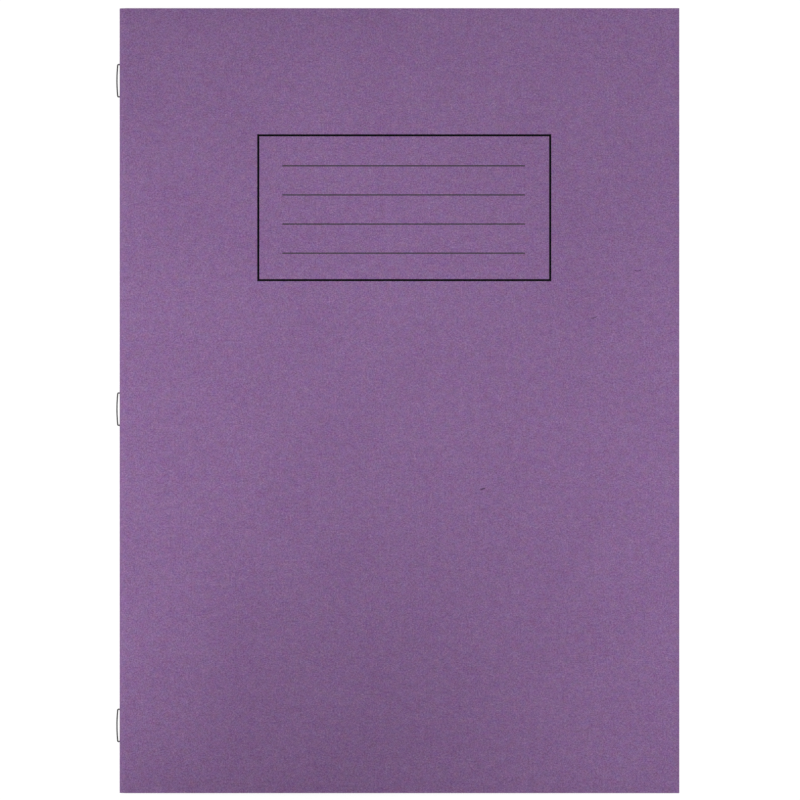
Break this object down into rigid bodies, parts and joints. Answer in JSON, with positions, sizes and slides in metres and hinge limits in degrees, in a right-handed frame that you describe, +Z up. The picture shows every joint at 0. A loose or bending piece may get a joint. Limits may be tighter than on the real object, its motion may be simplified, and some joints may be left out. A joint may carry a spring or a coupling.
{
  "type": "stapled exercise book",
  "caption": "Flat portrait exercise book: folded card cover around nested folded paper sheets, wire-stapled through the spine so that cover and leaves open about it.",
  "frame": {"origin": "on the plane that the back cover lies on, under the middle of the closed book's box", "axes": "+Z up out of the front cover, +Y to the head of the page, +X to the fore-edge; the spine is on -X"},
  "size_m": [0.213, 0.297, 0.0053],
  "materials": {
    "cover_card": "matte",
    "page_paper": "matte",
    "staple_wire": "satin"
  },
  "bodies": {
    "back_cover": {"back_cover": "cover_card"},
    "front_cover": {"front_cover": "cover_card"},
    "stitched_spine": {"head_staple": "staple_wire", "middle_staple": "staple_wire", "tail_staple": "staple_wire", "cover_spine": "cover_card", "sheet_01_fold": "page_paper", "sheet_02_fold": "page_paper", "sheet_03_fold": "page_paper", "sheet_04_fold": "page_paper", "sheet_05_fold": "page_paper", "sheet_06_fold": "page_paper", "sheet_07_fold": "page_paper", "sheet_08_fold": "page_paper", "sheet_09_fold": "page_paper", "sheet_10_fold": "page_paper", "sheet_11_fold": "page_paper", "sheet_12_fold": "page_paper", "sheet_13_fold": "page_paper", "sheet_14_fold": "page_paper", "sheet_15_fold": "page_paper", "sheet_16_fold": "page_paper"},
    "sheet_01_back": {"sheet_01_back_leaf": "page_paper"},
    "sheet_01_front": {"sheet_01_front_leaf": "page_paper"},
    "sheet_02_back": {"sheet_02_back_leaf": "page_paper"},
    "sheet_02_front": {"sheet_02_front_leaf": "page_paper"},
    "sheet_03_back": {"sheet_03_back_leaf": "page_paper"},
    "sheet_03_front": {"sheet_03_front_leaf": "page_paper"},
    "sheet_04_back": {"sheet_04_back_leaf": "page_paper"},
    "sheet_04_front": {"sheet_04_front_leaf": "page_paper"},
    "sheet_05_back": {"sheet_05_back_leaf": "page_paper"},
    "sheet_05_front": {"sheet_05_front_leaf": "page_paper"},
    "sheet_06_back": {"sheet_06_back_leaf": "page_paper"},
    "sheet_06_front": {"sheet_06_front_leaf": "page_paper"},
    "sheet_07_back": {"sheet_07_back_leaf": "page_paper"},
    "sheet_07_front": {"sheet_07_front_leaf": "page_paper"},
    "sheet_08_back": {"sheet_08_back_leaf": "page_paper"},
    "sheet_08_front": {"sheet_08_front_leaf": "page_paper"},
    "sheet_09_back": {"sheet_09_back_leaf": "page_paper"},
    "sheet_09_front": {"sheet_09_front_leaf": "page_paper"},
    "sheet_10_back": {"sheet_10_back_leaf": "page_paper"},
    "sheet_10_front": {"sheet_10_front_leaf": "page_paper"},
    "sheet_11_back": {"sheet_11_back_leaf": "page_paper"},
    "sheet_11_front": {"sheet_11_front_leaf": "page_paper"},
    "sheet_12_back": {"sheet_12_back_leaf": "page_paper"},
    "sheet_12_front": {"sheet_12_front_leaf": "page_paper"},
    "sheet_13_back": {"sheet_13_back_leaf": "page_paper"},
    "sheet_13_front": {"sheet_13_front_leaf": "page_paper"},
    "sheet_14_back": {"sheet_14_back_leaf": "page_paper"},
    "sheet_14_front": {"sheet_14_front_leaf": "page_paper"},
    "sheet_15_back": {"sheet_15_back_leaf": "page_paper"},
    "sheet_15_front": {"sheet_15_front_leaf": "page_paper"},
    "sheet_16_back": {"sheet_16_back_leaf": "page_paper"},
    "sheet_16_front": {"sheet_16_front_leaf": "page_paper"}
  },
  "joints": [
    {"name": "cover_opening", "type": "hinge", "parent": "back_cover", "child": "front_cover", "pos_m": [-0.1026, 0, 0.00265], "axis": [0, -1, 0], "range_deg": [0, 179], "deforming": ["cover_spine"]},
    {"name": "spine_turn", "type": "hinge", "parent": "back_cover", "child": "stitched_spine", "pos_m": [-0.1026, 0, 0.00265], "axis": [0, -1, 0], "range_deg": [0, 89.5]},
    {"name": "sheet_01_lift", "type": "hinge", "parent": "back_cover", "child": "sheet_01_back", "pos_m": [-0.1026, 0, 0.00265], "axis": [0, -1, 0], "range_deg": [0, 179]},
    {"name": "sheet_01_opening", "type": "hinge", "parent": "sheet_01_back", "child": "sheet_01_front", "pos_m": [-0.1026, 0, 0.00265], "axis": [0, -1, 0], "range_deg": [0, 179], "deforming": ["sheet_01_fold"]},
    {"name": "sheet_02_lift", "type": "hinge", "parent": "back_cover", "child": "sheet_02_back", "pos_m": [-0.1026, 0, 0.00265], "axis": [0, -1, 0], "range_deg": [0, 179]},
    {"name": "sheet_02_opening", "type": "hinge", "parent": "sheet_02_back", "child": "sheet_02_front", "pos_m": [-0.1026, 0, 0.00265], "axis": [0, -1, 0], "range_deg": [0, 179], "deforming": ["sheet_02_fold"]},
    {"name": "sheet_03_lift", "type": "hinge", "parent": "back_cover", "child": "sheet_03_back", "pos_m": [-0.1026, 0, 0.00265], "axis": [0, -1, 0], "range_deg": [0, 179]},
    {"name": "sheet_03_opening", "type": "hinge", "parent": "sheet_03_back", "child": "sheet_03_front", "pos_m": [-0.1026, 0, 0.00265], "axis": [0, -1, 0], "range_deg": [0, 179], "deforming": ["sheet_03_fold"]},
    {"name": "sheet_04_lift", "type": "hinge", "parent": "back_cover", "child": "sheet_04_back", "pos_m": [-0.1026, 0, 0.00265], "axis": [0, -1, 0], "range_deg": [0, 179]},
    {"name": "sheet_04_opening", "type": "hinge", "parent": "sheet_04_back", "child": "sheet_04_front", "pos_m": [-0.1026, 0, 0.00265], "axis": [0, -1, 0], "range_deg": [0, 179], "deforming": ["sheet_04_fold"]},
    {"name": "sheet_05_lift", "type": "hinge", "parent": "back_cover", "child": "sheet_05_back", "pos_m": [-0.1026, 0, 0.00265], "axis": [0, -1, 0], "range_deg": [0, 179]},
    {"name": "sheet_05_opening", "type": "hinge", "parent": "sheet_05_back", "child": "sheet_05_front", "pos_m": [-0.1026, 0, 0.00265], "axis": [0, -1, 0], "range_deg": [0, 179], "deforming": ["sheet_05_fold"]},
    {"name": "sheet_06_lift", "type": "hinge", "parent": "back_cover", "child": "sheet_06_back", "pos_m": [-0.1026, 0, 0.00265], "axis": [0, -1, 0], "range_deg": [0, 179]},
    {"name": "sheet_06_opening", "type": "hinge", "parent": "sheet_06_back", "child": "sheet_06_front", "pos_m": [-0.1026, 0, 0.00265], "axis": [0, -1, 0], "range_deg": [0, 179], "deforming": ["sheet_06_fold"]},
    {"name": "sheet_07_lift", "type": "hinge", "parent": "back_cover", "child": "sheet_07_back", "pos_m": [-0.1026, 0, 0.00265], "axis": [0, -1, 0], "range_deg": [0, 179]},
    {"name": "sheet_07_opening", "type": "hinge", "parent": "sheet_07_back", "child": "sheet_07_front", "pos_m": [-0.1026, 0, 0.00265], "axis": [0, -1, 0], "range_deg": [0, 179], "deforming": ["sheet_07_fold"]},
    {"name": "sheet_08_lift", "type": "hinge", "parent": "back_cover", "child": "sheet_08_back", "pos_m": [-0.1026, 0, 0.00265], "axis": [0, -1, 0], "range_deg": [0, 179]},
    {"name": "sheet_08_opening", "type": "hinge", "parent": "sheet_08_back", "child": "sheet_08_front", "pos_m": [-0.1026, 0, 0.00265], "axis": [0, -1, 0], "range_deg": [0, 179], "deforming": ["sheet_08_fold"]},
    {"name": "sheet_09_lift", "type": "hinge", "parent": "back_cover", "child": "sheet_09_back", "pos_m": [-0.1026, 0, 0.00265], "axis": [0, -1, 0], "range_deg": [0, 179]},
    {"name": "sheet_09_opening", "type": "hinge", "parent": "sheet_09_back", "child": "sheet_09_front", "pos_m": [-0.1026, 0, 0.00265], "axis": [0, -1, 0], "range_deg": [0, 179], "deforming": ["sheet_09_fold"]},
    {"name": "sheet_10_lift", "type": "hinge", "parent": "back_cover", "child": "sheet_10_back", "pos_m": [-0.1026, 0, 0.00265], "axis": [0, -1, 0], "range_deg": [0, 179]},
    {"name": "sheet_10_opening", "type": "hinge", "parent": "sheet_10_back", "child": "sheet_10_front", "pos_m": [-0.1026, 0, 0.00265], "axis": [0, -1, 0], "range_deg": [0, 179], "deforming": ["sheet_10_fold"]},
    {"name": "sheet_11_lift", "type": "hinge", "parent": "back_cover", "child": "sheet_11_back", "pos_m": [-0.1026, 0, 0.00265], "axis": [0, -1, 0], "range_deg": [0, 179]},
    {"name": "sheet_11_opening", "type": "hinge", "parent": "sheet_11_back", "child": "sheet_11_front", "pos_m": [-0.1026, 0, 0.00265], "axis": [0, -1, 0], "range_deg": [0, 179], "deforming": ["sheet_11_fold"]},
    {"name": "sheet_12_lift", "type": "hinge", "parent": "back_cover", "child": "sheet_12_back", "pos_m": [-0.1026, 0, 0.00265], "axis": [0, -1, 0], "range_deg": [0, 179]},
    {"name": "sheet_12_opening", "type": "hinge", "parent": "sheet_12_back", "child": "sheet_12_front", "pos_m": [-0.1026, 0, 0.00265], "axis": [0, -1, 0], "range_deg": [0, 179], "deforming": ["sheet_12_fold"]},
    {"name": "sheet_13_lift", "type": "hinge", "parent": "back_cover", "child": "sheet_13_back", "pos_m": [-0.1026, 0, 0.00265], "axis": [0, -1, 0], "range_deg": [0, 179]},
    {"name": "sheet_13_opening", "type": "hinge", "parent": "sheet_13_back", "child": "sheet_13_front", "pos_m": [-0.1026, 0, 0.00265], "axis": [0, -1, 0], "range_deg": [0, 179], "deforming": ["sheet_13_fold"]},
    {"name": "sheet_14_lift", "type": "hinge", "parent": "back_cover", "child": "sheet_14_back", "pos_m": [-0.1026, 0, 0.00265], "axis": [0, -1, 0], "range_deg": [0, 179]},
    {"name": "sheet_14_opening", "type": "hinge", "parent": "sheet_14_back", "child": "sheet_14_front", "pos_m": [-0.1026, 0, 0.00265], "axis": [0, -1, 0], "range_deg": [0, 179], "deforming": ["sheet_14_fold"]},
    {"name": "sheet_15_lift", "type": "hinge", "parent": "back_cover", "child": "sheet_15_back", "pos_m": [-0.1026, 0, 0.00265], "axis": [0, -1, 0], "range_deg": [0, 179]},
    {"name": "sheet_15_opening", "type": "hinge", "parent": "sheet_15_back", "child": "sheet_15_front", "pos_m": [-0.1026, 0, 0.00265], "axis": [0, -1, 0], "range_deg": [0, 179], "deforming": ["sheet_15_fold"]},
    {"name": "sheet_16_lift", "type": "hinge", "parent": "back_cover", "child": "sheet_16_back", "pos_m": [-0.1026, 0, 0.00265], "axis": [0, -1, 0], "range_deg": [0, 179]},
    {"name": "sheet_16_opening", "type": "hinge", "parent": "sheet_16_back", "child": "sheet_16_front", "pos_m": [-0.1026, 0, 0.00265], "axis": [0, -1, 0], "range_deg": [0, 179], "deforming": ["sheet_16_fold"]}
  ],
  "couplings": [
    {"joint": "spine_turn", "follows": "cover_opening", "ratio": 0.5},
    {"joint": "sheet_01_lift", "follows": "cover_opening", "ratio": 0.0013966},
    {"joint": "sheet_01_opening", "follows": "cover_opening", "ratio": 0.99721},
    {"joint": "sheet_02_lift", "follows": "cover_opening", "ratio": 0.0027933},
    {"joint": "sheet_02_opening", "follows": "cover_opening", "ratio": 0.99441},
    {"joint": "sheet_03_lift", "follows": "cover_opening", "ratio": 0.0041899},
    {"joint": "sheet_03_opening", "follows": "cover_opening", "ratio": 0.99162},
    {"joint": "sheet_04_lift", "follows": "cover_opening", "ratio": 0.0055866},
    {"joint": "sheet_04_opening", "follows": "cover_opening", "ratio": 0.98883},
    {"joint": "sheet_05_lift", "follows": "cover_opening", "ratio": 0.0069832},
    {"joint": "sheet_05_opening", "follows": "cover_opening", "ratio": 0.98603},
    {"joint": "sheet_06_lift", "follows": "cover_opening", "ratio": 0.0083799},
    {"joint": "sheet_06_opening", "follows": "cover_opening", "ratio": 0.98324},
    {"joint": "sheet_07_lift", "follows": "cover_opening", "ratio": 0.0097765},
    {"joint": "sheet_07_opening", "follows": "cover_opening", "ratio": 0.98045},
    {"joint": "sheet_08_lift", "follows": "cover_opening", "ratio": 0.011173},
    {"joint": "sheet_08_opening", "follows": "cover_opening", "ratio": 0.97765},
    {"joint": "sheet_09_lift", "follows": "cover_opening", "ratio": 0.01257},
    {"joint": "sheet_09_opening", "follows": "cover_opening", "ratio": 0.97486},
    {"joint": "sheet_10_lift", "follows": "cover_opening", "ratio": 0.013966},
    {"joint": "sheet_10_opening", "follows": "cover_opening", "ratio": 0.97207},
    {"joint": "sheet_11_lift", "follows": "cover_opening", "ratio": 0.015363},
    {"joint": "sheet_11_opening", "follows": "cover_opening", "ratio": 0.96927},
    {"joint": "sheet_12_lift", "follows": "cover_opening", "ratio": 0.01676},
    {"joint": "sheet_12_opening", "follows": "cover_opening", "ratio": 0.96648},
    {"joint": "sheet_13_lift", "follows": "cover_opening", "ratio": 0.018156},
    {"joint": "sheet_13_opening", "follows": "cover_opening", "ratio": 0.96369},
    {"joint": "sheet_14_lift", "follows": "cover_opening", "ratio": 0.019553},
    {"joint": "sheet_14_opening", "follows": "cover_opening", "ratio": 0.96089},
    {"joint": "sheet_15_lift", "follows": "cover_opening", "ratio": 0.02095},
    {"joint": "sheet_15_opening", "follows": "cover_opening", "ratio": 0.9581},
    {"joint": "sheet_16_lift", "follows": "cover_opening", "ratio": 0.022346},
    {"joint": "sheet_16_opening", "follows": "cover_opening", "ratio": 0.95531}
  ]
}
